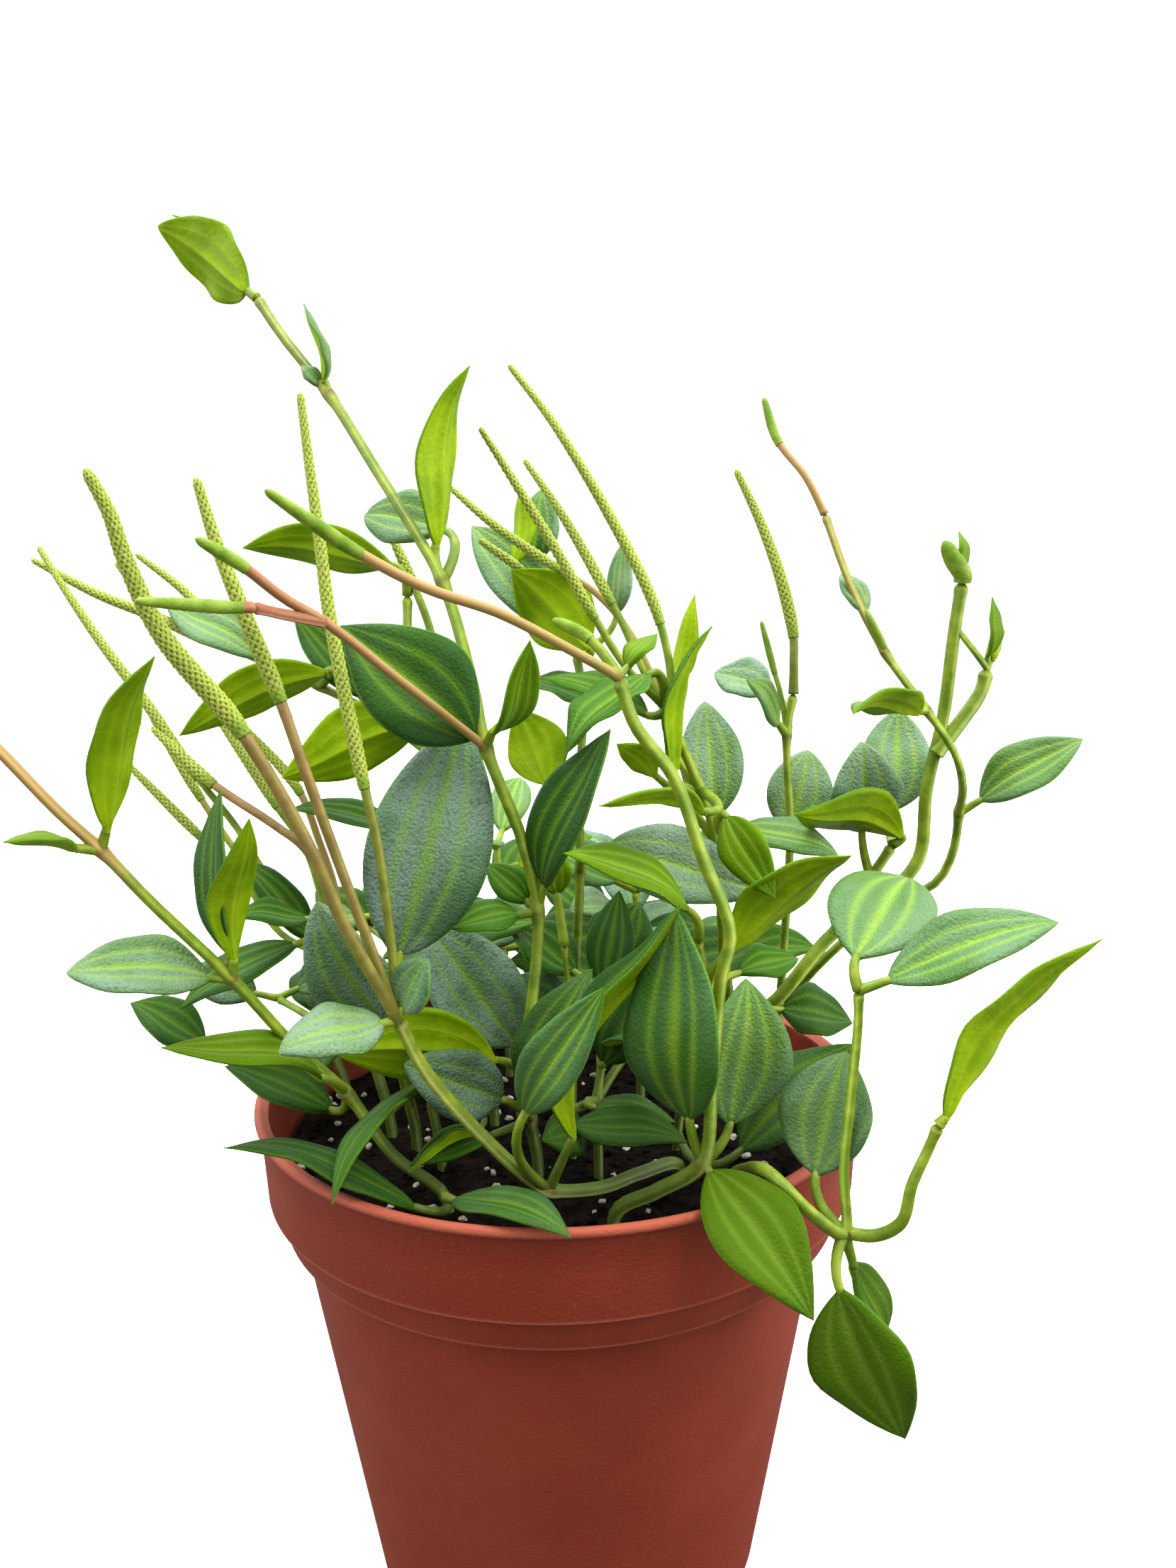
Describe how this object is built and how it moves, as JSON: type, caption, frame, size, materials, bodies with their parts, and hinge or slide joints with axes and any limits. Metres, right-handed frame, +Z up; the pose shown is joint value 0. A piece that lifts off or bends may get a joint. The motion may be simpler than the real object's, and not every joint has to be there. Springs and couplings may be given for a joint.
{
  "type": "potted beetle peperomia",
  "caption": "Small leafy house plant with trailing stems, striped oval leaves and slender flower spikes, growing from soil in a tapered plastic nursery pot.",
  "frame": {"origin": "centre of the pot's flat underside", "axes": "+Z up along the pot's axis, -Y towards the front where the long flower spikes and the rim leaves show, +X to the right seen from the front"},
  "size_m": [0.1771, 0.1475, 0.2325],
  "materials": {
    "pot_plastic": "moulded terracotta-red plastic, satin with a fine grain",
    "potting_soil": "dark, damp, crumbly potting mix with pale bits",
    "foliage": "green leaves with pale stripes, yellow-green stems and flower spikes, softly glossy"
  },
  "bodies": {
    "root": {"pot": "pot_plastic", "soil": "potting_soil", "tall_left_shoot": "foliage", "front_right_shoot": "foliage", "front_spike_shoot": "foliage", "large_leaf_shoot": "foliage", "trailing_left_shoot": "foliage", "trailing_right_shoot": "foliage", "spike_fan_shoot": "foliage", "single_spike_shoot": "foliage", "thick_right_shoot": "foliage", "tall_right_shoot": "foliage", "left_spike_shoot": "foliage", "high_left_shoot": "foliage", "centre_back_shoot": "foliage", "right_low_shoot": "foliage", "centre_low_shoot": "foliage", "low_front_shoot": "foliage", "slim_centre_shoot": "foliage", "mid_left_shoot": "foliage", "mid_right_shoot": "foliage", "back_left_shoot": "foliage", "back_mid_left_shoot": "foliage", "back_mid_shoot": "foliage", "back_right_shoot": "foliage", "back_rim_shoot": "foliage", "left_rim_shoot": "foliage", "back_left_rim_shoot": "foliage"}
  },
  "joints": []
}
